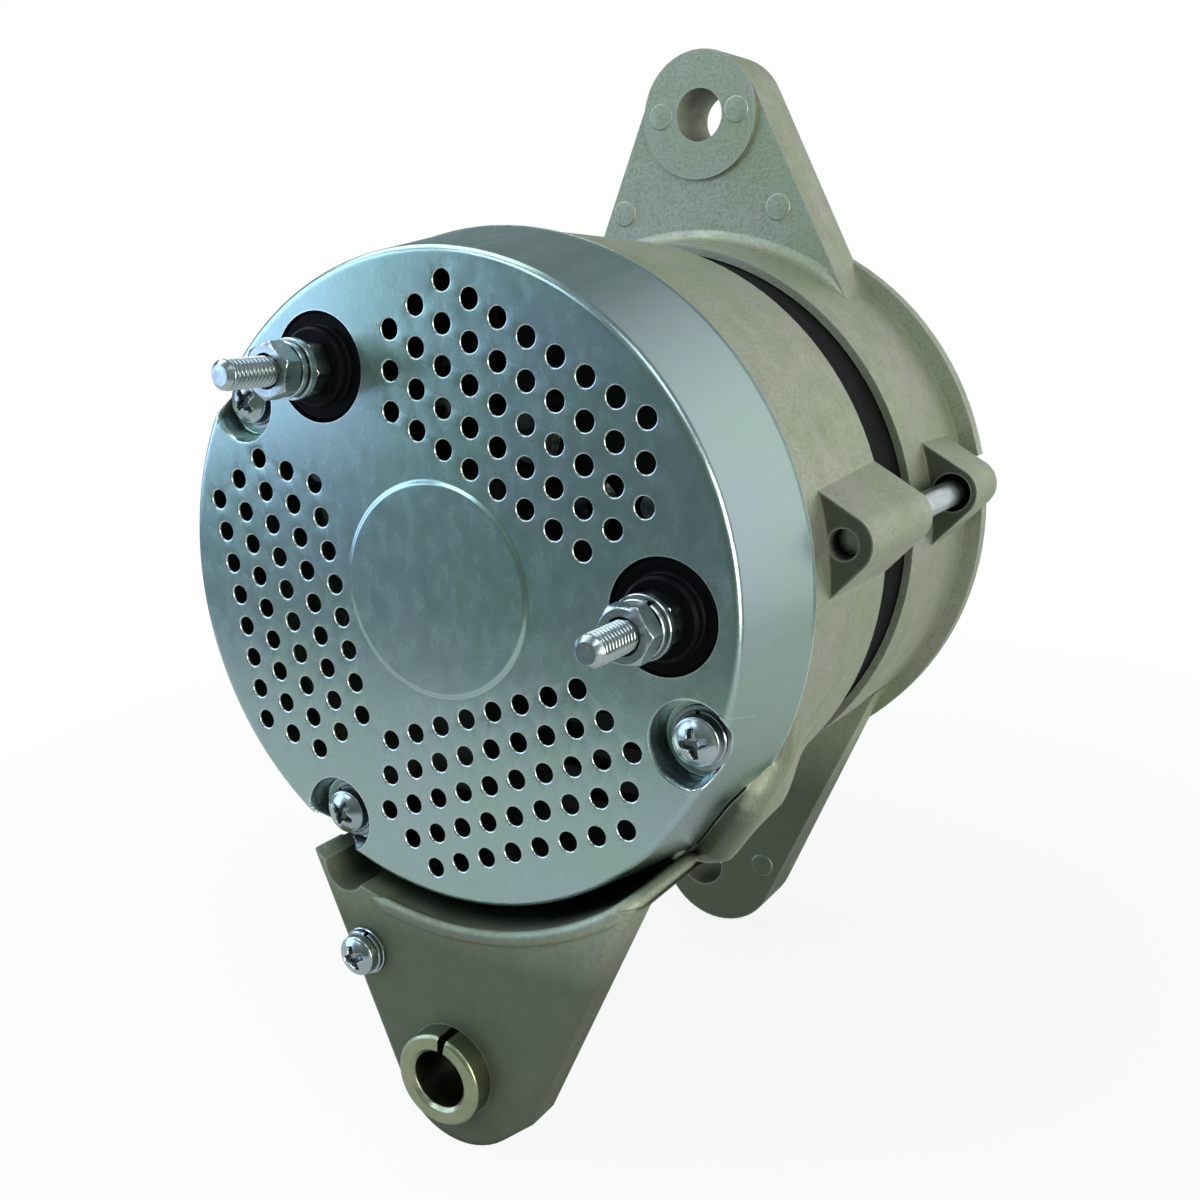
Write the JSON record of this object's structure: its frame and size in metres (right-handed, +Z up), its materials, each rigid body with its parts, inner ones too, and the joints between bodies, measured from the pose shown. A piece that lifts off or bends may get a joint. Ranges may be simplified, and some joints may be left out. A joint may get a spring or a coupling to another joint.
{
  "type": "alternator",
  "caption": "Alternator with a perforated steel rear cover, cast brackets, stud terminals, a split-bush pivot foot and an adjusting ear.",
  "frame": {"origin": "on the shaft's axis, in the centre plane of the belt groove", "axes": "+Y along the shaft out of the drive end, +Z up through the adjusting ear, +X to the right as seen from the rear cover"},
  "size_m": [0.1483, 0.207, 0.2343],
  "materials": {
    "cover_steel": "satin zinc plate",
    "cast_aluminium": "as cast, brushed",
    "machined_steel": "ground",
    "zinc_fastener": "bright zinc",
    "yellow_zinc": "yellow zinc",
    "core_iron": "black varnish",
    "pole_iron": "bare",
    "copper_wire": "varnished",
    "ring_copper": "polished",
    "black_plastic": "matt",
    "gloss_black_plastic": "gloss",
    "sleeve_resin": "matt",
    "carbon": "matt",
    "spring_steel": "bright",
    "sink_aluminium": "plain",
    "diode_nickel": "nickel plate",
    "fan_steel": "black",
    "pulley_steel": "grey zinc"
  },
  "bodies": {
    "housing": {"rear_cover": "cover_steel", "cover_screws": "zinc_fastener", "cover_washers": "zinc_fastener", "rear_bracket": "cast_aluminium", "pivot_bush": "yellow_zinc", "ground_screw": "zinc_fastener", "ground_screw_washers": "zinc_fastener", "front_bracket": "cast_aluminium", "through_bolts": "zinc_fastener", "stator_core": "core_iron", "stator_winding": "copper_wire", "front_bearing_outer_ring": "machined_steel", "front_bearing_balls": "machined_steel", "rear_bearing_outer_ring": "machined_steel", "rear_bearing_balls": "machined_steel", "bearing_retainer": "machined_steel", "retainer_screws": "zinc_fastener", "positive_heat_sink": "sink_aluminium", "negative_heat_sink": "sink_aluminium", "positive_diodes": "diode_nickel", "negative_diodes": "diode_nickel", "sink_insulating_rings": "black_plastic", "heat_sink_screws": "zinc_fastener", "brush_holder": "black_plastic", "brush_holder_screws": "zinc_fastener", "positive_brush_spring": "spring_steel", "negative_brush_spring": "spring_steel", "regulator": "black_plastic", "terminal_studs": "zinc_fastener", "terminal_insulators": "gloss_black_plastic", "terminal_lower_nuts": "zinc_fastener", "terminal_washers": "zinc_fastener", "terminal_spring_washers": "zinc_fastener", "terminal_upper_nuts": "zinc_fastener"},
    "rotor": {"rotor_shaft": "machined_steel", "rear_claw_pole": "pole_iron", "front_claw_pole": "pole_iron", "field_bobbin": "black_plastic", "field_coil": "copper_wire", "slip_ring_sleeve": "sleeve_resin", "slip_rings": "ring_copper", "front_bearing_inner_ring": "machined_steel", "rear_bearing_inner_ring": "machined_steel", "fan_collar": "machined_steel", "fan": "fan_steel", "pulley": "pulley_steel", "pulley_key": "machined_steel", "pulley_lock_washer": "zinc_fastener", "pulley_nut": "zinc_fastener"},
    "positive_brush": {"positive_brush": "carbon"},
    "negative_brush": {"negative_brush": "carbon"}
  },
  "joints": [
    {"name": "rotor_spin", "type": "hinge", "parent": "housing", "child": "rotor", "pos_m": [0, 0, 0], "axis": [0, 1, 0], "continuous": true},
    {"name": "positive_brush_slide", "type": "slide", "parent": "housing", "child": "positive_brush", "axis": [0, 0, -1], "range_m": [0, 0.005], "stiffness_N_per_m": 200, "springref_m": -0.0125, "deforming": ["positive_brush_spring"]},
    {"name": "negative_brush_slide", "type": "slide", "parent": "housing", "child": "negative_brush", "axis": [0, 0, -1], "range_m": [0, 0.005], "stiffness_N_per_m": 200, "springref_m": -0.0125, "deforming": ["negative_brush_spring"]}
  ]
}
